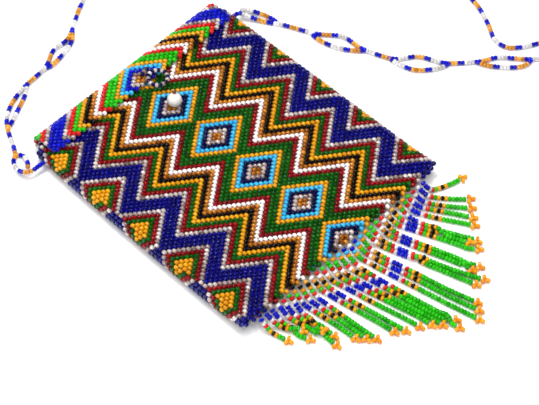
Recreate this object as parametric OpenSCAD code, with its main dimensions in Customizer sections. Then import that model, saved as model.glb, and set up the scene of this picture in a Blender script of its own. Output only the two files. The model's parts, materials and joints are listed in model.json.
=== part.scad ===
// Woven glass-bead purse: a flat tube of brick-laid seed beads, a short fold-over
// flap, a pearl and loop closure, a beaded fringe and a beaded neck cord.
// The purse lies on its back. +X is across it, +Y runs from the fringe to the flap,
// +Z points out of its front. The origin is the middle of the back's rest face.

/* [Beads] */
// Diameter of one woven bead, which is also the thickness of the woven wall
bead_d = 3; // [2.8:0.1:3.1]
// Spacing of the bead columns across the purse
column_pitch = 2.1; // [2:0.05:2.2]
// Spacing of two half-rows along the purse (neighbouring columns sit half a bead apart)
half_row = 1.55; // [1.5:0.05:1.6]
// Length that one bead takes up on a strung thread
strung_pitch = 1.95; // [1.9:0.05:2]
// Diameter of a strung bead
strung_d = 2.9; // [2.7:0.1:3]

/* [Pouch] */
// Bead columns in the flat part of the front, and in the flap
flat_columns = 67; // [63:2:71]
// Half-rows from the hem to the mouth
half_rows = 105; // [103:2:107]
// Inner depth of the pouch at the mouth
pouch_gap = 5; // [4.5:0.1:6]
// Length over which the back rises to meet the front at the hem
slope_len = 16; // [12:1:40]
// How far the front's edge at the mouth stops short of the fold
mouth_drop = 4; // [3:0.5:6]

/* [Flap] */
// Length of the flap that lies on the front
flap_len = 12; // [11:0.5:16]
// Air between the flap and the front
flap_air = 0.3; // [0.3:0.1:0.6]

/* [Closure] */
// Diameter of the pearl button
pearl_d = 8.3; // [7.5:0.1:9]
// Radius of the bead loop, to the middle of its beads
loop_r = 5.5; // [5:0.1:6]

/* [Fringe] */
// Beads on the longest strand, under the middle column of the chart
longest_beads = 41; // [38:1:44]

/* [Hidden] */
flat_half = flat_columns * column_pitch / 2;     // half width of the flat woven faces
wall = bead_d;
depth = pouch_gap + 2 * wall;                    // whole thickness at the mouth
half_w = flat_half + depth / 2;                  // half width over the side turns
mouth_y = half_rows * half_row / 2;
hem_y = -mouth_y;
knee_y = hem_y + slope_len;                      // where the back leaves the table
hem_gap = 0.4;                                   // what is left of the pouch at the hem
hem_mid = depth - wall - hem_gap / 2;            // height of the hem's middle
flap_z = depth + flap_air;                       // underside of the flap
roll_r = (flap_z + wall) / 2;                    // outer radius of the fold over the top
flap_edge = mouth_y - flap_len;
front_edge = mouth_y - mouth_drop;
pearl_x = 3.6;
pearl_y = 48.3;
pearl_z = depth + pearl_d / 2 + 0.15;
pearl_turn = 45;                                 // which way the pearl leans, in plan
pearl_lean = 16;                                 // and how far from upright
copper_d = 2.4;
copper_len = 1.8;
copper_at = pearl_d / 2 + copper_len / 2 + 0.1;
thread_r = 0.44;
hole_r = 0.5;
loop_x = 8;
loop_y = 66;
loop_z = flap_z + wall + strung_d / 2;
stem_y = loop_y + loop_r + strung_d + 0.3;       // bead that the loop hangs from
anchor_y = 74;
anchor_end = 79.9;                               // where the cord begins, either side
lie = 1.5;                                       // height of a strung bead's middle on a table
strand_count = 31;
first_strand_x = -65.1;
first_strand_column = -32;                       // its column in the chart, counted from the middle one
first_strand_node = 17;                          // the place in NODES just before the first strand
strand_start = hem_y - wall - 1;
bend_len = 10;                                   // length in which a strand takes up its lean
settle_len = 22;                                 // length in which it comes down to the table
// lean of each strand from straight, left to right, in degrees; they lie in loose bunches
leans = [10, 10, 9, 8, 8, 7, 7, 6, 5.5, 10, 10, 11.5, 12, 11.5, 11, 10.5,
         11.5, 12, 12, 12.5, 14, 19, 19, 25, 26, 26, 28, 33, 38, 45, 76];

// middle line of the neck cord from the left anchor to the right one, as it lies
cord_route = [
    [-anchor_end, anchor_y, 5.5], [-83, 76.5, 4.5], [-84, 82, 2.4], [-81.5, 88.5, 1.5], [-76, 93.5, 1.5],
    [-66, 111, 1.5], [-55, 119.5, 1.5], [-40, 124, 1.5], [-23, 126, 1.5], [-11, 132, 1.5],
    [2, 133, 1.5], [24, 146, 1.5], [40, 149, 1.5], [72, 118, 1.5], [106, 84, 1.5],
    [166, 24, 1.5], [184, 2, 1.5], [183, -16, 1.5], [176, -32, 1.5], [170, -42, 1.5],
    [170, -51, 1.5], [177, -58, 1.5], [188, -64, 1.5], [200, -71, 1.5], [206, -79, 1.5],
    [201, -87, 1.5], [191, -84, 1.5], [172, -66, 1.5], [161, -53, 1.5], [151, -47, 1.5],
    [137, -34, 1.5], [130, -20, 1.5], [119, -11, 1.5], [112, 7, 1.5], [111, 21, 1.5],
    [102, 33.5, 1.5], [94, 51, 1.5], [88, 61, 1.5], [83.5, 69.5, 3.2], [anchor_end, anchor_y, 5.5]];
// second arms of the cord's open loops
cord_arms = [
    [[-77.5, 91.5, 1.5], [-75, 88.5, 1.5], [-75.9, 84.5, 2.6], [-78, 80.5, 4.6], [-80.5, 77.5, 5.2]],
    [[-67.5, 108.5, 1.5], [-62, 110.5, 1.5], [-54, 114.5, 1.5], [-45, 119, 1.5], [-38.5, 124, 1.5]],
    [[-25, 125.7, 1.5], [-18, 124.5, 1.5], [-8, 126.5, 1.5], [1, 129.5, 1.5], [6.5, 135, 1.5]],
    [[92.5, 53.5, 1.5], [92.5, 60, 1.5], [91, 66.5, 1.5], [87, 72.5, 3], [82.6, 74.8, 5]],
    [[100.5, 36.5, 1.5], [99.8, 29, 1.5], [102.5, 18.5, 1.5], [108, 9, 1.5], [113, 4, 1.5]],
    [[117.8, -8, 1.5], [118, -15, 1.5], [121.5, -25.5, 1.5], [131.5, -34, 1.5], [139, -36, 1.5]],
    [[150, -46.5, 1.5], [152, -52, 1.5], [158.5, -61, 1.5], [166.5, -67.5, 1.5], [173.5, -67.5, 1.5]]];

// pouch depth, the height of the back, and the flat faces' half width, at a place along the purse
function gap_at(y) = y >= knee_y ? pouch_gap
    : hem_gap + (pouch_gap - hem_gap) * (y - hem_y) / slope_len;
function back_at(y) = pouch_gap - gap_at(y);
function flat_at(y) = half_w - wall - gap_at(y) / 2;

// closed solid through rings of the same number of points; a bent strip's ends are closed by
// quads between its two sides
module skin(rings, strip = false) {
    n = len(rings[0]);
    last = len(rings) - 1;
    near = strip ? [for (i = [0:n / 2 - 2]) [n - 1 - i, n - 2 - i, i + 1, i]]
        : [[for (i = [0:n - 1]) n - 1 - i]];
    far = [for (face = near) [for (i = [len(face) - 1:-1:0]) last * n + face[i]]];
    polyhedron(
        points = [for (ring = rings) each ring],
        faces = concat(near, far, [for (k = [0:last - 1], i = [0:n - 1])
            [k * n + i, k * n + (i + 1) % n, (k + 1) * n + (i + 1) % n, (k + 1) * n + i]]),
        convexity = 10);
}

function unit(v) = v / norm(v);
// direction of a route at one of its points
function heading(p, i) = unit(p[min(i + 1, len(p) - 1)] - p[max(i - 1, 0)]);
// ring of a tube: half width across, half height up
function tube_ring(p, dir, w, h, sides) =
    let (side = unit(cross(dir, [0, 0, 1])), up = cross(side, dir))
    [for (i = [0:sides - 1]) p + side * w * cos(i * 360 / sides) + up * h * sin(i * 360 / sides)];

module tube(route, d, sides = 8) {
    skin([for (i = [0:len(route) - 1]) tube_ring(route[i], heading(route, i), d / 2, d / 2, sides)]);
}

// the back, flat on the table from the mouth to the knee and rising to the hem
module back_panel() {
    color("darkgreen") skin([for (y = [mouth_y, knee_y, hem_y])
        let (x = flat_at(y), z = back_at(y))
        [[-x, y, z], [x, y, z], [x, y, z + wall], [-x, y, z + wall]]]);
}

module front_panel() {
    color("green") translate([0, 0, wall + pouch_gap]) linear_extrude(wall)
        polygon([[flat_half, front_edge - wall], [-flat_half, front_edge - wall], [-flat_half, knee_y],
            [-flat_at(hem_y), hem_y], [flat_at(hem_y), hem_y], [flat_half, knee_y]]);
}

// the woven wall where it turns from the front to the back
module side_turn(side) {
    steps = 8;
    rings = [for (y = [mouth_y, knee_y, hem_y])
        let (inner = gap_at(y) / 2, outer = inner + wall, x = flat_at(y), z = back_at(y) + outer)
        concat(
            [for (i = [0:steps]) let (a = -90 + i * 180 / steps)
                [side * (x + outer * cos(a)), y, z + outer * sin(a)]],
            [for (i = [0:steps]) let (a = 90 - i * 180 / steps)
                [side * (x + inner * cos(a)), y, z + inner * sin(a)]])];
    skin(side > 0 ? rings : [for (ring = rings) [for (i = [len(ring) - 1:-1:0]) ring[i]]], strip = true);
}
module left_side_turn() { color("mediumblue") side_turn(-1); }
module right_side_turn() { color("mediumblue") side_turn(1); }

module row_of_beads(y, z, half) {
    translate([-half, y, z]) rotate([0, 90, 0]) cylinder(d = wall, h = 2 * half, $fn = 24);
}
module bottom_hem() { color("navy") row_of_beads(hem_y - wall / 2, hem_mid, half_w - 1); }
module mouth_edge_row() { color("darkgreen") row_of_beads(front_edge - wall / 2, depth - wall / 2, flat_half); }

// quarter of the rolled wall over the top, from the given angle
module roll_quarter(from) {
    translate([-flat_half, mouth_y, roll_r]) rotate([90, 0, 90]) linear_extrude(2 * flat_half)
        difference() {
            intersection() {
                circle(roll_r, $fn = 64);
                rotate(from) square(roll_r + 1);
            }
            circle(roll_r - wall, $fn = 64);
        }
}
module top_roll() { color("orange") roll_quarter(-90); }
module flap_roll() { color("darkorange") roll_quarter(0); }

module flap() {
    color("limegreen") translate([-flat_half, flap_edge, flap_z]) cube([2 * flat_half, flap_len, wall]);
}

// the bead that carries the loop, with its hole across the flap
module loop_stem_bead() {
    color("navy") translate([loop_x, stem_y, loop_z]) rotate([0, 90, 0]) difference() {
        cylinder(d = strung_d, h = column_pitch, center = true, $fn = 32);
        cylinder(r = hole_r, h = 2 * strung_d, center = true, $fn = 24);
    }
}

module closure_loop() {
    color("silver") translate([loop_x, loop_y, loop_z])
        rotate_extrude($fn = 48) translate([loop_r, 0]) circle(d = strung_d - 0.2, $fn = 24);
}

// places something on the pearl's hole, at a distance up it
module on_pearl_axis(along) {
    translate([pearl_x, pearl_y, pearl_z]) rotate([0, pearl_lean, pearl_turn])
        translate([0, 0, along]) children();
}
module button_pearl() {
    color("white") on_pearl_axis(0) difference() {
        sphere(d = pearl_d, $fn = 64);
        cylinder(r = hole_r, h = pearl_d + 2, center = true, $fn = 24);
    }
}
module button_stop_bead() {
    color("peru") on_pearl_axis(copper_at) difference() {
        cylinder(d = copper_d, h = copper_len, center = true, $fn = 32);
        cylinder(r = thread_r, h = copper_len + 1, center = true, $fn = 24);
    }
}
// the pearl's thread, from the front's weave up through the pearl and the stop bead
module button_thread() {
    foot = pearl_d / 2 + 1.2;
    color("gainsboro") on_pearl_axis(-foot)
        cylinder(r = thread_r, h = foot + copper_at + copper_len / 2 + 0.3, $fn = 24);
}

module cord_anchor(side) {
    color("goldenrod") translate([side * (half_w - 0.2), anchor_y, depth / 2])
        rotate([0, side * 90, 0]) cylinder(d = strung_d, h = anchor_end - half_w + 0.2, $fn = 32);
}
module left_cord_anchor() { cord_anchor(-1); }
module right_cord_anchor() { cord_anchor(1); }

module neck_cord() { color("royalblue") tube(cord_route, strung_d); }
module neck_cord_loop_arms() { color("goldenrod") for (arm = cord_arms) tube(arm, strung_d); }

// beads on a strand: one fewer for each column away from the middle of the chart
function strand_beads(i) = longest_beads - abs(first_strand_column + 2 * (i - 1));
// points down a strand from the hem, in equal steps
function strand_line(i, step, n, at, s) = n == 0 ? [at]
    : let (lean = leans[i - 1] * min(1, s / bend_len))
      concat([at], strand_line(i, step, n - 1, at + step * [sin(lean), -cos(lean), 0], s + step));
// one strand: a tube from the hem that lies down on the table and ends in a three-bead knot
module fringe_strand(i) {
    length = strand_beads(i) * strung_pitch;
    n = ceil(length / 10);
    step = length / n;
    line = strand_line(i, step, n, [first_strand_x + 2 * column_pitch * (i - 1), strand_start, 0], step / 2);
    route = [for (k = [0:n]) let (rise = pow(max(0, 1 - k * step / settle_len), 2))
        line[k] + [0, 0, lie + (hem_mid - lie) * rise]];
    end = route[n];
    dir = unit([heading(route, n).x, heading(route, n).y, 0]);     // the knot lies level
    r = strung_d / 2;
    knot = [[0.8, 1.9], [3, 2], [5, 1.4]];       // distance along, and half width
    skin(concat(
        [for (k = [0:n]) tube_ring(route[k], heading(route, k), r, r, 8)],
        [for (k = knot) tube_ring(end + dir * k[0], dir, k[1], r, 8)]));
}

back_panel();
front_panel();
left_side_turn();
right_side_turn();
bottom_hem();
mouth_edge_row();
top_roll();
flap_roll();
flap();
loop_stem_bead();
closure_loop();
button_pearl();
button_stop_bead();
button_thread();
left_cord_anchor();
right_cord_anchor();
neck_cord();
neck_cord_loop_arms();
for (i = [1:strand_count])
    color("forestgreen") fringe_strand(i);
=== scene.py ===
"""Bead-woven coin purse: every glass bead modelled on its own thread, laid out from the woven chart."""
import bpy
import json
import math
import numpy as np
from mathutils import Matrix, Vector


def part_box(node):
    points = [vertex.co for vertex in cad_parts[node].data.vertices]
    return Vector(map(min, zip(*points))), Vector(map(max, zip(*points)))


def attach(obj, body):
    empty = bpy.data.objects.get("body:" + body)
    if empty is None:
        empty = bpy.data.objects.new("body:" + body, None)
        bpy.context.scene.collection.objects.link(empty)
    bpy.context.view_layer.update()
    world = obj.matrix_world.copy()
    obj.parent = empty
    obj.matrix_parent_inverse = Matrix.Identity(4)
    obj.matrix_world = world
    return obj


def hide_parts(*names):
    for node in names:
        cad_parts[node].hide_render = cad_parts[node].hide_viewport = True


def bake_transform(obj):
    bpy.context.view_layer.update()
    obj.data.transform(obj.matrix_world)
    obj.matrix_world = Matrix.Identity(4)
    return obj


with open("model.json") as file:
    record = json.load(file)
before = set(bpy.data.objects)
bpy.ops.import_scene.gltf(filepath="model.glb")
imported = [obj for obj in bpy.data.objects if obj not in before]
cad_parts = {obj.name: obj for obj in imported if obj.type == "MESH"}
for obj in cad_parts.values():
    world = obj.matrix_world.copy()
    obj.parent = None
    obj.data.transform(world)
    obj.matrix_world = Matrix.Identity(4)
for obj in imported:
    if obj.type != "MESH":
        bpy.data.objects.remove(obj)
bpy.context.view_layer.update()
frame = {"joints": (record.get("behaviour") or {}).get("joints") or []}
MM = 0.001
rng = np.random.default_rng(8)

# ---- sizes, in millimetres; the weave's grid, walls and roll are as in the CAD ----
COLUMN = 2.1             # from one bead column to the next across the purse
HALF_ROW = 1.55          # from one half-row to the next along the purse
STRUNG = 1.95            # length of one bead on a strung thread
CORD_PITCH = 1.93        # the same on the neck cord, which is pulled a little tighter
WALL = 3.0               # the weave's thickness, one bead
BEAD_D = 2.98            # diameter of a woven bead
STRUNG_D = 2.9           # diameter of a strung bead
FULL_D = 3.08            # diameter of a fringe bead, a little fuller than the CAD's strand
GAP = 5.0                # depth inside the pouch
HEM_GAP = 0.4            # the same at the closed hem
HALF_WIDTH = 75.85       # over the side turns
MOUTH_Y = 81.375
HEM_Y = -MOUTH_Y
KNEE_Y = HEM_Y + 16      # where the back leaves the table to meet the front
FLAT_COLUMNS = 67
ROUND_COLUMNS = 146      # columns all the way round the tube
FRONT_EDGE_ROWS = 3      # half-rows by which the front stops short of the fold
ROLL_R = 5.65            # middle radius of the wall rolled over the top
ROLL_Z = 7.15
FLAP_LEN = 12.0
PULL = 4.5               # how far the left edge is drawn in at the mouth; straight in the CAD
LIE = 1.5                # height of a strung bead's middle on the table
HEM_MID = GAP + WALL - HEM_GAP / 2
FULL_TURN = 6.28         # radians by which a bead may be spun
BEAD_THREAD_R = 0.22     # radius of the thread through strung beads
PLY_WAVE = 6.28          # unit length of the wave pattern on the thread


# ---- camera: the first thing made, because the cords are judged by what it sees ----
def camera():
    data = bpy.data.cameras.new("camera")
    data.lens, data.sensor_width = 173.7, 36
    data.clip_start, data.clip_end = 0.01, 20
    obj = bpy.data.objects.new("camera", data)
    obj.location = (-0.6185, -0.6284, 1.1237)
    aim = Vector((-0.0028, -0.0311, 0)) - obj.location
    obj.rotation_euler = aim.to_track_quat("-Z", "Y").to_euler()
    bpy.context.scene.collection.objects.link(obj)
    bpy.context.scene.camera = obj


camera()


# ---- materials ----
def linear(hex_colour):
    """An sRGB hex colour as linear RGBA."""
    parts = [int(hex_colour[i:i + 2], 16) / 255 for i in (0, 2, 4)]
    return [c / 12.92 if c <= 0.04045 else ((c + 0.055) / 1.055) ** 2.4 for c in parts] + [1]


def add(tree, kind, settings=None, values=None, links=None):
    """Adds a node, with its settings, the values of its sockets and the outputs linked to them."""
    node = tree.nodes.new(kind)
    for name, value in (settings or {}).items():
        setattr(node, name, value)
    for name, value in (values or {}).items():
        node.inputs[name].default_value = value
    for name, output in (links or {}).items():
        tree.links.new(output, node.inputs[name])
    return node


def glass(name, deep, bright, roughness=0.14, metallic=0.0, coat=0.0, streak_and_sparkle=0.35):
    """Drawn and tumbled bead glass: each bead has its own tone between deep and bright, with the drawn
    glass's faint streaks, and a fire-polished skin that is a little wavy. Where the streak share is large,
    as on the silver-lined and amber glass, the streaks are painted sparkle: flecks of painted highlight
    and painted shade."""
    mat = bpy.data.materials.new(name)
    mat.use_nodes = True
    tree = mat.node_tree
    shader = tree.nodes["Principled BSDF"]
    tone = add(tree, "ShaderNodeAttribute", {"attribute_name": "tone"})
    place = add(tree, "ShaderNodeTexCoord")
    # streaks about 0.7 mm wide, which on the silver-lined and amber glass are strong enough to be painted
    # sparkle, and waves of the skin about 1.3 mm long
    streaks = add(tree, "ShaderNodeTexNoise", {}, {"Scale": 1 / (0.7 * MM), "Detail": 2.0},
                  {"Vector": place.outputs["Object"]})
    waves = add(tree, "ShaderNodeTexNoise", {}, {"Scale": 1 / (1.3 * MM), "Detail": 1.0},
                {"Vector": place.outputs["Object"]})
    share = add(tree, "ShaderNodeMath", {"operation": "MULTIPLY_ADD"}, {1: streak_and_sparkle},
                {0: streaks.outputs["Fac"], 2: tone.outputs["Fac"]})
    drop = add(tree, "ShaderNodeMath", {"operation": "SUBTRACT", "use_clamp": True}, {1: streak_and_sparkle / 2},
               {0: share.outputs[0]})
    colour = add(tree, "ShaderNodeMix", {"data_type": "RGBA"}, {6: linear(deep), 7: linear(bright)},
                 {0: drop.outputs[0]})
    rough = add(tree, "ShaderNodeMapRange", {}, {"To Min": roughness * 0.6, "To Max": roughness * 1.5},
                {"Value": waves.outputs["Fac"]})
    bump = add(tree, "ShaderNodeBump", {}, {"Strength": 0.25, "Distance": 0.05 * MM},
               {"Height": waves.outputs["Fac"]})
    tree.links.new(colour.outputs[2], shader.inputs["Base Color"])
    tree.links.new(rough.outputs[0], shader.inputs["Roughness"])
    tree.links.new(bump.outputs[0], shader.inputs["Normal"])
    shader.inputs["Metallic"].default_value = metallic
    shader.inputs["IOR"].default_value = 1.52
    shader.inputs["Coat Weight"].default_value = coat
    shader.inputs["Coat Roughness"].default_value = 0.08
    return mat


# woven glass sits against its neighbours, so little light comes through it and it looks deep: its copies are
# painted dark, painted shade;
# strung glass lies on a pale table, which lights it from below: its copies are painted bright, painted light
woven = {
    "amber": glass("amber_glass_painted_shade_and_sparkle", "8a3e02", "f4a030", 0.2, 0.4, 0.5, 1.0),  # warm gleam: painted sparkle flecks, and amber painted deep, painted shade between neighbours
    "silver": glass("silver_lined_glass_painted_shade_and_sparkle", "745450", "f8ece8", 0.15, 0.25, 0.7, 1.4),  # pale, flecked: painted sparkle flecks, and painted darker, painted shade between neighbours
    "navy": glass("navy_glass_painted_shade", "02022c", "08084c", 0.13),  # near-black blue: navy painted darker, painted shade between neighbours
    "cyan": glass("turquoise_opaque_glass", "1c9cd8", "48c4f2", 0.14),  # the lightest blue
    "yellow": glass("sunflower_opaque_glass", "cc8206", "eca818", 0.15),  # flat gold
    "green": glass("green_glass_painted_shade", "023802", "0e640a", 0.12),  # deep green: painted shade between neighbours
    "red": glass("red_glass_painted_shade", "5c0208", "9c0814", 0.12),  # deep wine red: painted shade between neighbours
    "white": glass("chalk_white_glass", "e8dcda", "fdfafa", 0.16),  # the brightest line
    "black": glass("jet_black_glass", "020101", "0c0502", 0.12),  # the darkest line
    "blue": glass("cobalt_glass_painted_shade", "020250", "060680", 0.13),  # dense dark blue: painted shade between neighbours
}
strung = dict(
    woven,
    green=glass("green_glass_painted_light", "0e9406", "34cc1c", 0.12),  # fresh green: painted light from the pale table below
    red=glass("red_glass_painted_light", "b80c14", "ea2a2a", 0.12),  # clear bright red: painted light from the table below
    navy=glass("navy_glass_painted_light", "040a90", "0c1ac8", 0.13),  # lively blue: navy painted lighter, painted light from the table below
    blue=glass("cobalt_glass_painted_light", "040a98", "0c1ad0", 0.13),  # the same, a shade lighter: cobalt painted light from the table below
    amber=glass("amber_glass_painted_light_and_sparkle", "b86c08", "ffbc4c", 0.16, 0.2, 0.6, 0.7),  # honey gleam: painted sparkle flecks, and amber painted light from the table below
    silver=glass("silver_lined_glass_painted_light_and_sparkle", "c4bcb8", "ffffff", 0.14, 0.2, 0.8, 0.8),  # near white: painted sparkle flecks, and painted light from the table below
    topaz_end=glass("marigold_transparent_glass", "e68806", "fcac24", 0.14),  # orange tips
)
# the flap and the roll stand on edge to the light, and show the glass at its clearest: their green, red and
# blues are the strung copies, painted light, and their yellow is painted paler, painted light
lit = dict(woven, green=strung["green"], red=strung["red"], blue=strung["blue"], navy=strung["navy"],
           yellow=glass("sunflower_glass_painted_light", "d08a0c", "f0b02c", 0.15))


def nylon_thread(name, deep, bright):
    """Twisted nylon: soft satin with the ridges of its ply."""
    mat = bpy.data.materials.new(name)
    mat.use_nodes = True
    tree = mat.node_tree
    shader = tree.nodes["Principled BSDF"]
    place = add(tree, "ShaderNodeTexCoord")
    ply = add(tree, "ShaderNodeTexWave", {"bands_direction": "DIAGONAL"},
              {"Scale": 1 / (PLY_WAVE * MM), "Distortion": 1.5}, {"Vector": place.outputs["Object"]})
    colour = add(tree, "ShaderNodeMix", {"data_type": "RGBA"}, {6: linear(deep), 7: linear(bright)},
                 {0: ply.outputs["Fac"]})
    bump = add(tree, "ShaderNodeBump", {}, {"Strength": 0.5, "Distance": 0.05 * MM},
               {"Height": ply.outputs["Fac"]})
    tree.links.new(colour.outputs[2], shader.inputs["Base Color"])
    tree.links.new(bump.outputs[0], shader.inputs["Normal"])
    shader.inputs["Roughness"].default_value = 0.6
    shader.inputs["Sheen Weight"].default_value = 0.3
    return mat


# dark nylon, also laid as whole sheets inside the weave, where it paints the shade in the gaps between beads
thread_and_gap_shade = nylon_thread("dark_nylon_and_painted_gap_shade", "140e0c", "3a2c24")
pale_thread = nylon_thread("clear_twisted_nylon", "c8c2b8", "f2efe8")


def pearl_lacquer():
    """Imitation pearl: a milky bead dipped in nacre lacquer, so it glows softly and has a wide, weak
    highlight over faint clouds 3 mm across."""
    mat = bpy.data.materials.new("nacre_lacquer")
    mat.use_nodes = True
    tree = mat.node_tree
    shader = tree.nodes["Principled BSDF"]
    place = add(tree, "ShaderNodeTexCoord")
    cloud = add(tree, "ShaderNodeTexNoise", {}, {"Scale": 1 / (3 * MM), "Detail": 3.0},
                {"Vector": place.outputs["Object"]})
    colour = add(tree, "ShaderNodeMix", {"data_type": "RGBA"}, {6: linear("e2dad6"), 7: linear("fbf7f3")},
                 {0: cloud.outputs["Fac"]})
    pits = add(tree, "ShaderNodeBump", {}, {"Strength": 0.1, "Distance": 0.05 * MM},
               {"Height": cloud.outputs["Fac"]})
    tree.links.new(colour.outputs[2], shader.inputs["Base Color"])
    tree.links.new(pits.outputs[0], shader.inputs["Normal"])
    shader.inputs["Roughness"].default_value = 0.3
    shader.inputs["Coat Weight"].default_value = 0.5
    shader.inputs["Coat Roughness"].default_value = 0.2
    shader.inputs["Subsurface Weight"].default_value = 0.25
    shader.inputs["Subsurface Scale"].default_value = 1.5 * MM
    return mat


pearl_skin = pearl_lacquer()
# tumbled copper: a dull rosy spark of metal over the pearl
copper = glass("tumbled_copper", "9a5a40", "e0a284", 0.28, 1.0, 0.0, 0.4)
copper.node_tree.nodes["Principled BSDF"].inputs["IOR"].default_value = 1.5


# ---- beads ----
BEAD_SIDES = 12
BEAD_HOLE = 0.3          # the hole's radius as a share of the bead's radius


def bead_profile(fullness):
    """Half outline of a drawn and tumbled bead of length 1 and radius 1: (along, radius)."""
    points = []
    for turn in np.radians([0, 24, 52, 90, 128, 156, 180]):
        along = -0.5 * math.copysign(abs(math.cos(turn)) ** 0.8, math.cos(turn))
        points.append((along, BEAD_HOLE + (1 - BEAD_HOLE) * math.sin(turn) ** fullness))
    return np.array(points)


SQUAT, ROUND = bead_profile(0.62), bead_profile(0.74)


def frames_for(axes):
    """Two directions square to each axis."""
    axes = axes / np.linalg.norm(axes, axis=1, keepdims=True)
    helper = np.where(np.abs(axes[:, 2:3]) > 0.9, [[1.0, 0, 0]], [[0, 0, 1.0]])
    side = np.cross(axes, helper)
    side /= np.linalg.norm(side, axis=1, keepdims=True)
    return axes, side, np.cross(axes, side)


def bead_vertices(centres, axes, lengths, diameters, spin, profile):
    """Vertices of many beads at once, shaped (beads, vertices, 3), in millimetres."""
    axes, side, up = frames_for(axes)
    angle = spin[:, None] + np.arange(BEAD_SIDES) * 2 * math.pi / BEAD_SIDES
    around = (np.cos(angle)[..., None] * side[:, None] + np.sin(angle)[..., None] * up[:, None])
    radial = around[:, None] * (profile[:, 1][:, None, None] * (diameters / 2)[:, None, None, None])
    along = axes[:, None, None] * (profile[:, 0][:, None, None] * lengths[:, None, None, None])
    return (centres[:, None, None] + radial + along).reshape(len(centres), -1, 3)


def bead_quads():
    rings, faces = len(SQUAT), []
    for k in range(rings):
        for i in range(BEAD_SIDES):
            a, b = k * BEAD_SIDES, (k + 1) % rings * BEAD_SIDES
            j = (i + 1) % BEAD_SIDES
            faces.append((a + i, b + i, b + j, a + j))
    return np.array(faces)


QUADS = bead_quads()


def mesh_object(name, vertices, faces, materials, face_material=None, tone=None):
    """A smooth mesh from arrays: vertices in millimetres, and faces that all have as many sides."""
    mesh = bpy.data.meshes.new(name)
    sides = faces.shape[1]
    mesh.vertices.add(len(vertices))
    mesh.vertices.foreach_set("co", (vertices * MM).astype(np.float32).ravel())
    mesh.loops.add(faces.size)
    mesh.loops.foreach_set("vertex_index", faces.astype(np.int32).ravel())
    mesh.polygons.add(len(faces))
    mesh.polygons.foreach_set("loop_start", np.arange(0, faces.size, sides, dtype=np.int32))
    mesh.polygons.foreach_set("loop_total", np.full(len(faces), sides, dtype=np.int32))
    for mat in materials:
        mesh.materials.append(mat)
    if face_material is not None:
        mesh.polygons.foreach_set("material_index", face_material.astype(np.int32))
    mesh.update(calc_edges=True)
    mesh.validate()
    mesh.shade_smooth()
    if tone is not None:
        mesh.attributes.new("tone", "FLOAT", "POINT").data.foreach_set("value", tone.astype(np.float32))
    obj = bpy.data.objects.new(name, mesh)
    bpy.context.scene.collection.objects.link(obj)
    return obj


def tube_arrays(route, radius, sides=6):
    """A thread's vertices and quads along a route, open at its ends."""
    heading = np.gradient(route, axis=0)
    _, side, up = frames_for(heading)
    angle = np.arange(sides) * 2 * math.pi / sides
    ring = np.cos(angle)[None, :, None] * side[:, None] + np.sin(angle)[None, :, None] * up[:, None]
    vertices = (route[:, None] + radius * ring).reshape(-1, 3)
    faces = [(k * sides + i, k * sides + (i + 1) % sides,
              (k + 1) * sides + (i + 1) % sides, (k + 1) * sides + i)
             for k in range(len(route) - 1) for i in range(sides)]
    return vertices, np.array(faces)


def beads_object(name, centres, axes, colours, palette, length, diameter, thread=(), uneven=1.0):
    """One mesh of beads, with a material for each colour that it has, and threads through them."""
    centres, axes = np.array(centres, float), np.array(axes, float)
    count = len(centres)
    axes = axes / np.linalg.norm(axes, axis=1, keepdims=True)
    axes = axes + rng.normal(0, 0.035 * uneven, (count, 3))
    centres = centres + rng.normal(0, 0.03 * uneven, (count, 3))
    lengths = length * (1 + rng.normal(0, 0.02 * uneven, count).clip(-0.04, 0.02))
    diameters = diameter * (1 + rng.normal(-0.01, 0.02 * uneven, count).clip(-0.06, 0.02))
    profile = ROUND if palette is strung else SQUAT
    vertices = bead_vertices(centres, axes, lengths, diameters, rng.uniform(0, FULL_TURN, count), profile)
    per_bead = vertices.shape[1]
    faces = (np.arange(count)[:, None, None] * per_bead + QUADS[None]).reshape(-1, 4)
    names = sorted(set(colours))
    index = np.array([names.index(colour) for colour in colours])
    face_material = np.repeat(index, len(QUADS))
    tone = np.repeat(rng.beta(2.2, 2.2, count), per_bead)
    vertices = vertices.reshape(-1, 3)
    materials = [palette[colour] for colour in names]
    for route in thread:
        more, quads = tube_arrays(np.array(route), BEAD_THREAD_R)
        faces = np.vstack([faces, quads + len(vertices)])
        vertices = np.vstack([vertices, more])
        face_material = np.append(face_material, np.full(len(quads), len(materials)))
        tone = np.append(tone, np.full(len(more), 0.5))
    if len(thread):
        materials.append(pale_thread)
    return mesh_object(name, vertices, faces, materials, face_material, tone)


# ---- the chart: every colour is a ring of beads round the nearest diamond's middle ----
CHART = ["amber", "silver", "navy", "cyan", "yellow", "green", "green", "red", "white", "amber", "black",
         "yellow", "green", "red", "silver", "blue", "blue", "blue", "silver", "red", "green", "yellow"]
DIAMOND_STEP = 21        # half-rows from one diamond's middle to the next


def chart_colour(rings):
    return CHART[min(int(rings), len(CHART) - 1)]


def rings_out(column, row, middles):
    """How many beads out of the nearest diamond's middle a bead lies."""
    return min((abs(column - c) + abs(row - r) - 1) // 2 for c, r in middles)


FRONT_MIDDLES = [(i % 2, DIAMOND_STEP * i) for i in range(-2, 6)]
BACK_MIDDLE = 73         # the column opposite the front's middle one
BACK_WIDENING = 3        # columns by which the back's diamonds are wider, either side
FLAP_MIDDLES = [(0, 16), (0, 0)]


def tube_colour(column, row):
    """Columns run from -73 to 72 round the tube, and the back's are those beyond 35 either way."""
    if abs(column) <= 35:
        return chart_colour(rings_out(column, row, FRONT_MIDDLES))
    off_middle = abs(column % ROUND_COLUMNS - BACK_MIDDLE)
    return chart_colour(rings_out(max(0, off_middle - BACK_WIDENING), row, FRONT_MIDDLES))


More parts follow.
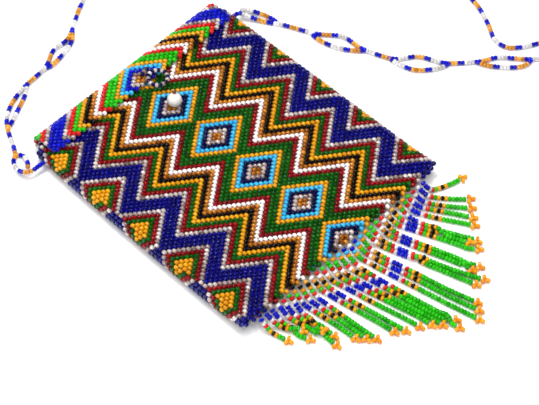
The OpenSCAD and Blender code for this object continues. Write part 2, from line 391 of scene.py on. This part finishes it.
# ---- the woven tube ----
def gap_at(y):
    slope = min(1.0, max(0.0, (y - HEM_Y) / (KNEE_Y - HEM_Y)))
    return HEM_GAP + (GAP - HEM_GAP) * slope


def round_the_tube(share, y):
    """Point and running direction on the wall's middle surface. The share is from -0.5 to 0.5 round
    the tube, from the middle of the front towards +X."""
    gap = gap_at(y)
    flat = HALF_WIDTH - WALL - gap / 2
    turn = (gap + WALL) / 2
    middle_z = GAP - gap + (gap + 2 * WALL) / 2
    quarter = flat + math.pi * turn / 2
    along = share * 4 * quarter
    sign = 1 if along >= 0 else -1
    along = abs(along)
    if along <= flat:
        return (sign * along, y, middle_z + turn), (1, 0, 0)
    if along <= flat + math.pi * turn:
        angle = (along - flat) / turn
        point = (sign * (flat + turn * math.sin(angle)), y, middle_z + turn * math.cos(angle))
        return point, (math.cos(angle), 0, -sign * math.sin(angle))
    return (sign * (flat - (along - flat - math.pi * turn)), y, middle_z - turn), (1, 0, 0)


def drawn_in(point):
    """The purse's left edge is drawn in a little towards the mouth, where the cord pulls on it."""
    x, y, z = point
    rise = min(1.0, max(0.0, (y - HEM_Y) / (MOUTH_Y - HEM_Y)))
    return x + PULL * rise ** 2 * min(1.0, max(0.0, -x / HALF_WIDTH)) ** 2, y, z


def row_y(row):
    return (31.5 - row) * HALF_ROW


def region_of(column):
    if -34 <= column <= 32:
        return "front"
    if 33 <= column <= 38:
        return "right_side"
    if -40 <= column <= -35:
        return "left_side"
    return "back"


def add_bead(beds, key, centre, axis, colour):
    bed = beds.setdefault(key, ([], [], []))
    bed[0].append(centre)
    bed[1].append(axis)
    bed[2].append(colour)


def tube_beads():
    """Beads of the tube by region and colour group, in brick-laid columns."""
    beds = {}
    for column in range(-73, 73):
        region = region_of(column)
        first = -20 + (FRONT_EDGE_ROWS if region == "front" else 0)
        for row in range(first, 86):
            if (column + row) % 2 == 0 or (row == 85 and region != "front"):
                continue
            y = row_y(row)
            centre, axis = round_the_tube((column + 1) / ROUND_COLUMNS, max(y, HEM_Y))
            if row == 85:
                centre = (centre[0], y, HEM_MID)
            elif row == 83 or row == 84:
                centre = (centre[0], y, centre[2])
            centre = drawn_in(centre)
            colour = tube_colour(column, row)
            half = "lower" if row > 32 else "upper"
            key = (region, half) if region in ("front", "back") else (region, "")
            add_bead(beds, key, centre, axis, colour)
    return beds


REGION_NODES = {"front": ["front_panel", "mouth_edge_row"], "back": ["back_panel"],
                "left_side": ["left_side_turn"], "right_side": ["right_side_turn"]}
GROUPS = [("green_and_yellow", ("green", "yellow")), ("blue", ("blue", "navy", "cyan")),
          ("silver_amber_and_black", ("silver", "amber", "black")), ("red_and_white", ("red", "white"))]


def weave_tube():
    pieces = []
    for (region, half), (centres, axes, colours) in tube_beads().items():
        groups = GROUPS if half else [("beads", tuple(woven))]
        for group, members in groups:
            chosen = [i for i, colour in enumerate(colours) if colour in members]
            if not chosen:
                continue
            name = "_".join(part for part in (region, half, group) if part)
            piece = beads_object(name, [centres[i] for i in chosen], [axes[i] for i in chosen],
                                 [colours[i] for i in chosen], woven, COLUMN, BEAD_D)
            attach(piece, "purse")
            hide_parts(*REGION_NODES[region])
            pieces.append(piece)
    return pieces


def sheet_object(name, grid, material):
    """A one-layer sheet from a grid of points, in millimetres."""
    rows, columns = len(grid), len(grid[0])
    vertices = np.array(grid, float).reshape(-1, 3)
    faces = [(r * columns + c, r * columns + c + 1, (r + 1) * columns + c + 1, (r + 1) * columns + c)
             for r in range(rows - 1) for c in range(columns - 1)]
    return mesh_object(name, vertices, np.array(faces), [material])


# ---- the roll over the top and the flap ----
ROLL_LEN = math.pi * ROLL_R


def over_the_top(along):
    """(y, z) on the wall's middle surface, from the back's top edge over the roll and down the flap."""
    if along <= ROLL_LEN:
        angle = along / ROLL_R - math.pi / 2
        return MOUTH_Y + ROLL_R * math.cos(angle), ROLL_Z + ROLL_R * math.sin(angle)
    return MOUTH_Y - (along - ROLL_LEN), ROLL_Z + ROLL_R


def weave_flap():
    beds = {}
    for row in range(19):
        for column in range(-34, 33):
            if (column + row) % 2 == 0:
                continue
            along = (row + 0.5) * HALF_ROW
            y, z = over_the_top(along)
            colour = chart_colour(rings_out(column, row, FLAP_MIDDLES))
            key = "flap" if along > ROLL_LEN else "roll"
            add_bead(beds, key, drawn_in(((column + 1) * COLUMN, y, z)), (1, 0, 0), colour)
    pieces = {key: beads_object(key + "_beads", centres, axes, colours, lit, COLUMN, BEAD_D)
              for key, (centres, axes, colours) in beds.items()}
    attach(pieces["flap"], "flap")
    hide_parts("flap")
    bend_roll(pieces["roll"])
    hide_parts("top_roll", "flap_roll")
    return pieces


def bend_roll(piece):
    """Bakes the placement of what lies on the roll into its mesh."""
    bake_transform(piece)


# ---- strung beads ----
def smooth(points, step=0.25):
    """Even points about step apart on a smooth curve through the given ones."""
    points = np.array(points, float)
    ends = np.vstack([2 * points[0] - points[1], points, 2 * points[-1] - points[-2]])
    line = []
    for a, b, c, d in zip(ends, ends[1:], ends[2:], ends[3:]):
        t = np.linspace(0, 1, 24, endpoint=False)[:, None]
        line.append(0.5 * (2 * b + (c - a) * t + (2 * a - 5 * b + 4 * c - d) * t ** 2
                           + (3 * b - 3 * c + d - a) * t ** 3))
    line = np.vstack(line + [points[-1:]])
    travelled = np.append(0, np.cumsum(np.linalg.norm(np.diff(line, axis=0), axis=1)))
    even = np.linspace(0, travelled[-1], max(2, round(travelled[-1] / step)))
    return np.column_stack([np.interp(even, travelled, line[:, k]) for k in range(3)])


def length_of(line):
    return float(np.linalg.norm(np.diff(line, axis=0), axis=1).sum())


def along_line(line, distances):
    """Points and headings at distances along a line."""
    travelled = np.append(0, np.cumsum(np.linalg.norm(np.diff(line, axis=0), axis=1)))
    heading = np.gradient(line, axis=0)
    points = np.column_stack([np.interp(distances, travelled, line[:, k]) for k in range(3)])
    headings = np.column_stack([np.interp(distances, travelled, heading[:, k]) for k in range(3)])
    return points, headings


def thin(line, every):
    keep = list(range(0, len(line) - 1, every)) + [len(line) - 1]
    return line[keep]


# the neck cord's middle line, the same route as in the CAD
CORD_ROUTE = [
    (-79.9, 74, 5.5), (-83, 76.5, 4.5), (-84, 82, 2.4), (-81.5, 88.5, 1.5), (-76, 93.5, 1.5),
    (-66, 111, 1.5), (-55, 119.5, 1.5), (-40, 124, 1.5), (-23, 126, 1.5), (-11, 132, 1.5),
    (2, 133, 1.5), (24, 146, 1.5), (40, 149, 1.5), (72, 118, 1.5), (106, 84, 1.5),
    (166, 24, 1.5), (184, 2, 1.5), (183, -16, 1.5), (176, -32, 1.5), (170, -42, 1.5),
    (170, -51, 1.5), (177, -58, 1.5), (188, -64, 1.5), (200, -71, 1.5), (206, -79, 1.5),
    (201, -87, 1.5), (191, -84, 1.5), (172, -66, 1.5), (161, -53, 1.5), (151, -47, 1.5),
    (137, -34, 1.5), (130, -20, 1.5), (119, -11, 1.5), (112, 7, 1.5), (111, 21, 1.5),
    (102, 33.5, 1.5), (94, 51, 1.5), (88, 61, 1.5), (83.5, 69.5, 3.2), (79.9, 74, 5.5)]
# second arms of the cord's open loops
CORD_ARMS = [
    [(-77.5, 91.5, 1.5), (-75, 88.5, 1.5), (-75.9, 84.5, 2.6), (-78, 80.5, 4.6), (-80.5, 77.5, 5.2)],
    [(-67.5, 108.5, 1.5), (-62, 110.5, 1.5), (-54, 114.5, 1.5), (-45, 119, 1.5), (-38.5, 124, 1.5)],
    [(-25, 125.7, 1.5), (-18, 124.5, 1.5), (-8, 126.5, 1.5), (1, 129.5, 1.5), (6.5, 135, 1.5)],
    [(92.5, 53.5, 1.5), (92.5, 60, 1.5), (91, 66.5, 1.5), (87, 72.5, 3), (82.6, 74.8, 5)],
    [(100.5, 36.5, 1.5), (99.8, 29, 1.5), (102.5, 18.5, 1.5), (108, 9, 1.5), (113, 4, 1.5)],
    [(117.8, -8, 1.5), (118, -15, 1.5), (121.5, -25.5, 1.5), (131.5, -34, 1.5), (139, -36, 1.5)],
    [(150, -46.5, 1.5), (152, -52, 1.5), (158.5, -61, 1.5), (166.5, -67.5, 1.5), (173.5, -67.5, 1.5)]]
CORD_CHART = ["amber"] * 3 + ["blue"] * 2 + ["silver"] * 3 + ["blue"] * 2


def neck_cord():
    line = smooth(CORD_ROUTE)
    length = length_of(line)
    count = round(length / CORD_PITCH)
    pitch = length / count
    spots = (np.arange(count) + 0.5) * pitch
    points, headings = along_line(line, spots)
    colours = [CORD_CHART[k % 10] for k in range(count)]
    cord = beads_object("neck_cord_beads", points, headings, colours, strung, pitch, STRUNG_D,
                        [thin(line, 6)], 0.6)
    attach(cord, "purse")
    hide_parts("neck_cord")
    for number, route in enumerate(CORD_ARMS, 1):
        arm_line = smooth(route)
        arm_length = length_of(arm_line)
        arm_count = round(arm_length / CORD_PITCH)
        nearest = [np.argmin(np.linalg.norm(points - end, axis=1)) for end in (route[0], route[-1])]
        spots = (np.arange(arm_count) + 0.5) * arm_length / arm_count
        places, ways = along_line(arm_line, spots)
        steps = np.linspace(nearest[0], nearest[1], arm_count + 2)[1:-1]
        colours = [CORD_CHART[round(s) % 10] for s in steps]
        arm = beads_object(f"neck_cord_loop_arm_{number}", places, ways, colours, strung,
                           arm_length / arm_count, STRUNG_D, [thin(arm_line, 4)], 0.6)
        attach(arm, "purse")
        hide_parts("neck_cord_loop_arms")
    for side, name, inner in ((-1, "left_cord_anchor", -2), (1, "right_cord_anchor", 0)):
        spots = [(side * (HALF_WIDTH - 0.1 + STRUNG * (k + 0.5)), 74, 5.5) for k in range(inner, 2)]
        anchor = beads_object(name + "_beads", spots, [(1, 0, 0)] * len(spots), ["blue"] * len(spots),
                              strung, STRUNG, STRUNG_D, (), 0.5)
        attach(anchor, "purse")
        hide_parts(name)
    return cord


# ---- fringe ----
FIRST_STRAND_X = -65.1
FIRST_STRAND_COLUMN = -32
LONGEST_BEADS = 41
STRAND_START = HEM_Y - WALL - 0.35
BEND_LEN = 10            # over which a strand takes up its lean
SETTLE_LEN = 22          # over which it comes down to the table
# each strand's lean from straight down, in degrees, from left to right
LEANS = [10, 10, 9, 8, 8, 7, 7, 6, 5.5, 10, 10, 11.5, 12, 11.5, 11, 10.5,
         11.5, 12, 12, 12.5, 14, 19, 19, 25, 26, 26, 28, 33, 38, 45, 76]


# strands that have slipped across their neighbours, and by how many degrees
SLIPS = {1: 17, 3: 7, 5: -11, 8: -3, 12: 2, 15: -3, 19: 10, 21: 2, 22: -3, 25: -9, 26: 3}
HOP = 3.2                # how far a slipped strand is lifted before it is let down
KNOT_LINKS = 2           # bead lengths that the three-bead knot takes up
SETTLING_STEPS = 160
KNOT_R = 2.1             # half the width that a knot needs
SINK = 0.06              # how far a free bead falls in a step
STRAIGHTEN = 0.12        # share of a bend that a step takes out
PUSH_APART = 0.35        # share of an overlap that a step takes out


def strand_line(number, beads):
    """A strand's beads before it settles: it takes up its lean, wanders a little, and comes down from
    the hem to the table."""
    at = np.array([FIRST_STRAND_X + 2 * COLUMN * number, STRAND_START - STRUNG / 2, 0.0])
    wander, phase = rng.uniform(3.0, 8.0), rng.uniform(0, FULL_TURN)
    slip = SLIPS.get(number, 0)
    line = []
    for k in range(beads + KNOT_LINKS):
        s = (k + 0.5) * STRUNG
        rise = (HEM_MID - LIE) * max(0.0, 1 - s / SETTLE_LEN) ** 2
        lift = HOP * min(1.0, s / BEND_LEN) if slip else 0
        line.append(at + (0, 0, LIE + rise + lift))
        lean = (LEANS[number] + slip) * min(1.0, s / BEND_LEN) + wander * math.sin(s / 5 + phase)
        at = at + STRUNG * np.array([math.sin(math.radians(lean)), -math.cos(math.radians(lean)), 0])
    return np.array(line)


def settle(lines):
    """Lets the strands down: the beads keep their spacing, and rest on the table and on each other."""
    beads = np.vstack(lines)
    strand = np.repeat(np.arange(len(lines)), [len(line) for line in lines])
    ends = np.cumsum([len(line) for line in lines])
    inner = np.arange(len(beads))
    held = np.isin(inner, np.concatenate([ends - [len(line) for line in lines] + k for k in range(2)]))
    knot = np.isin(inner, np.concatenate([ends - 1 - k for k in range(KNOT_LINKS)]))
    radius = np.where(knot, KNOT_R, STRUNG_D / 2)
    free = np.where(held, 0.0, 1.0)
    links = inner[:-1][strand[:-1] == strand[1:]]
    middles = links[1:][np.diff(links) == 1]
    apart = strand[:, None] != strand[None, :]
    reach = radius[:, None] + radius[None, :]
    for _ in range(SETTLING_STEPS):
        beads[:, 2] -= SINK * free
        straight = (beads[middles - 1] + beads[middles + 1]) / 2
        beads[middles] += STRAIGHTEN * (straight - beads[middles]) * free[middles, None]
        gap = beads[:, None] - beads[None]
        distance = np.linalg.norm(gap, axis=2) + 1e-6
        press = np.where(apart, np.maximum(0, reach - distance), 0) / distance
        beads += PUSH_APART * (press[..., None] * gap).sum(axis=1) * free[:, None]
        for parity in (0, 1, 0, 1):
            a = links[links % 2 == parity]
            pull = beads[a + 1] - beads[a]
            size = np.linalg.norm(pull, axis=1, keepdims=True)
            share = free[a] + free[a + 1] + 1e-6
            pull *= (1 - STRUNG / size) / share[:, None]
            beads[a] += pull * free[a, None]
            beads[a + 1] -= pull * free[a + 1, None]
        beads[:, 2] = np.maximum(beads[:, 2], LIE)
    return np.split(beads, ends[:-1])


def strand_colours(column, beads):
    """The chart runs on down a strand, then a yellow, black, yellow end and a green tail."""
    ends = ["yellow", "black", "yellow"]
    colours = []
    for k in range(beads):
        ring = abs(column) // 2 + 1 + k
        if ring <= 20:
            colours.append(CHART[ring])
        elif ring <= 23:
            colours.append(ends[ring - 21])
        else:
            colours.append("green")
    return colours


def fringe():
    pieces = []
    columns = [FIRST_STRAND_COLUMN + 2 * number for number in range(len(LEANS))]
    counts = [LONGEST_BEADS - abs(column) for column in columns]
    settled = settle([strand_line(number, beads) for number, beads in enumerate(counts)])
    for number, (column, beads, line) in enumerate(zip(columns, counts, settled)):
        headings = np.gradient(line, axis=0)
        way = headings[beads] / np.linalg.norm(headings[beads])
        end = line[beads - 1] + way * STRUNG / 2
        across = np.cross(way, (0, 0, 1))
        # the three-bead knot: one bead either side of the thread, one across its end
        knot = [(1.6, 1.45, way + across * 0.5), (1.6, -1.45, way - across * 0.5), (3.9, 0, across)]
        points = np.vstack([line[:beads]] + [end + way * along + across * aside for along, aside, _ in knot])
        headings = np.vstack([headings[:beads]] + [heading for *_, heading in knot])
        colours = strand_colours(column, beads) + ["topaz_end"] * len(knot)
        name = f"fringe_strand_{number + 1:02d}"
        piece = beads_object(name + "_beads", points, headings, colours, strung, STRUNG, FULL_D,
                             [smooth(line[:beads + 1], 1.5)], 0.8)
        body = "fringe_left" if number < 10 else "fringe_middle" if number < 21 else "fringe_right"
        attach(piece, body)
        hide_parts(name)
        pieces.append(piece)
    return pieces


# ---- closure: bead loop and pearl ----
LOOP_BEADS = 18
LOOP_R = 5.5             # to the middles of the ring's beads
LOOP_PITCH = 1.92
LOOP_BEAD_D = 2.7
PEARL_R = 4.15
PEARL_HOLE_R = 0.5
STOP_AT = 5.15           # from the pearl's middle to the stop bead's
STOP_LEN = 1.8
STOP_D = 2.4
BUTTON_THREAD_R = 0.16


def closure():
    low, high = (Vector(corner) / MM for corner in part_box("closure_loop"))
    middle = (low + high) / 2
    turns = np.arange(LOOP_BEADS) * 2 * math.pi / LOOP_BEADS
    centres = [(middle.x + LOOP_R * math.cos(t), middle.y + LOOP_R * math.sin(t), middle.z) for t in turns]
    headings = [(-math.sin(t), math.cos(t), 0) for t in turns]
    colours = ["navy", "silver"] * (LOOP_BEADS // 2)
    ring = beads_object("closure_loop_beads", centres, headings, colours, woven,
                        LOOP_PITCH, LOOP_BEAD_D, (), 0.5)
    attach(ring, "closure_loop")
    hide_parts("closure_loop")
    low, high = (Vector(corner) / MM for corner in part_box("loop_stem_bead"))
    stem_at = (low + high) / 2
    stem = [tuple(stem_at), (stem_at.x - 2.2, stem_at.y - 0.1, stem_at.z - 0.05),
            (stem_at.x - 4.3, stem_at.y - 0.7, stem_at.z - 0.15)]
    beads = beads_object("closure_stem_beads", stem, [(1, 0, 0), (1, 0.1, 0), (1, 0.3, 0)],
                         ["navy", "silver", "navy"], woven, COLUMN, STRUNG_D, (), 0.5)
    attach(beads, "flap")
    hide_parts("loop_stem_bead")


def lathe(outline, sides):
    """Vertices and quads of an outline of (along, radius) turned about X, closed through its middle."""
    turns = np.arange(sides) * 2 * math.pi / sides
    vertices = np.array([(x, r * math.cos(t), r * math.sin(t)) for x, r in outline for t in turns])
    count = len(outline)
    faces = [(k * sides + i, (k + 1) % count * sides + i, (k + 1) % count * sides + (i + 1) % sides,
              k * sides + (i + 1) % sides) for k in range(count) for i in range(sides)]
    return vertices, np.array(faces)


def button():
    low, high = (Vector(corner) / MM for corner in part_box("button_pearl"))
    centre = np.array((low + high) / 2)
    joint = next(j for j in frame["joints"] if j["name"] == "pearl_roll")
    basis = np.array(frames_for(np.array([joint["axis"]], float))).reshape(3, 3)
    up = basis[0]
    start = math.asin(PEARL_HOLE_R / PEARL_R)
    outline = [(-PEARL_R * math.cos(t), PEARL_R * math.sin(t))
               for t in np.linspace(start, math.pi - start, 33)]
    vertices, faces = lathe(outline, 48)
    pearl = mesh_object("pearl", vertices @ basis + centre, faces, [pearl_skin])
    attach(pearl, "button_pearl")
    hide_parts("button_pearl")
    bead = beads_object("button_stop_bead_copper", [centre + up * STOP_AT], [up], ["copper"],
                        {"copper": copper}, STOP_LEN, STOP_D, (), 0.3)
    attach(bead, "purse")
    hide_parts("button_stop_bead")
    # up through the pearl and the stop bead, round the bead's rim and back in
    bends = [(-5.2, 0), (0, 0), (5.4, 0.1), (6.25, 0.45), (6.1, 1.0), (5.2, 1.28), (4.35, 0.9)]
    route = smooth([centre + up * along + basis[1] * out for along, out in bends], 0.2)
    vertices, faces = tube_arrays(route, BUTTON_THREAD_R, 8)
    thread = mesh_object("button_thread_twist", vertices, faces, [pale_thread])
    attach(thread, "purse")
    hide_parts("button_thread")


# ---- make it ----
neck_cord()
tube_pieces = weave_tube()
flap_pieces = weave_flap()
strands = fringe()
closure()
button()

for piece in tube_pieces:
    if piece.name.startswith("front_lower"):
        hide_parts("bottom_hem")

# a dark sheet along the wall's middle and over the flap: it stands for the thread, and is painted shade in
# the gaps between beads
shares = np.linspace(-0.5, 0.5, 161)
SHEET_STEP = 2.5           # from one row of the dark sheet to the next
sheet_rows = [MOUTH_Y - 0.8 - k * SHEET_STEP for k in range(65)] + [HEM_Y + 0.4]
tube_thread_shade_sheet = sheet_object("tube_thread_and_shade_sheet",
                        [[drawn_in(round_the_tube(share, y)[0]) for share in shares]
                         for y in sheet_rows], thread_and_gap_shade)
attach(tube_thread_shade_sheet, "purse")

half = FLAT_COLUMNS * COLUMN / 2 - 0.4
distances = np.linspace(0, ROLL_LEN + FLAP_LEN - 1, 40)
flap_thread_shade_sheet = sheet_object("flap_thread_and_shade_sheet",
                        [[drawn_in((x, *over_the_top(d))) for x in np.linspace(-half, half, 60)]
                         for d in distances],
                        thread_and_gap_shade)
bend_roll(flap_thread_shade_sheet)


# ---- floor and light ----
def table_top():
    """Smooth white card, almost without grain."""
    mat = bpy.data.materials.new("white_card")
    mat.use_nodes = True
    tree = mat.node_tree
    shader = tree.nodes["Principled BSDF"]
    shader.inputs["Base Color"].default_value = linear("fbfbfb")
    shader.inputs["Roughness"].default_value = 0.9
    shader.inputs["Specular IOR Level"].default_value = 0.1
    return mat


def floor():
    size = 3000.0
    corners = np.array([(-size, -size, 0), (size, -size, 0), (size, size, 0), (-size, size, 0)], float)
    plane = mesh_object("table", corners, np.array([(0, 1, 2, 3)]), [table_top()])


def soft_light(name, place, aim, size, power, mirrored=True):
    data = bpy.data.lights.new(name, "AREA")
    data.shape, data.size, data.energy = "SQUARE", size, power
    obj = bpy.data.objects.new(name, data)
    obj.location = place
    obj.rotation_euler = (Vector(aim) - Vector(place)).to_track_quat("-Z", "Y").to_euler()
    obj.visible_glossy = mirrored
    bpy.context.scene.collection.objects.link(obj)


def light():
    world = bpy.data.worlds.new("studio")
    world.use_nodes = True
    world.node_tree.nodes["Background"].inputs["Color"].default_value = (1, 1, 1, 1)
    world.node_tree.nodes["Background"].inputs["Strength"].default_value = 0.06
    bpy.context.scene.world = world
    soft_light("key", (0.15, 0.35, 1.5), (0, 0, 0), 0.26, 9)
    soft_light("window", (-1.3, 0.3, 1.2), (0, 0, 0), 0.3, 6)
    soft_light("overhead", (0, 0, 1.9), (0, 0, 0), 2.2, 42, False)
    soft_light("front_fill", (-0.8, -1.6, 1.3), (0, 0, 0), 1.5, 14, False)


floor()
light()
bpy.context.scene.view_settings.view_transform = "Standard"
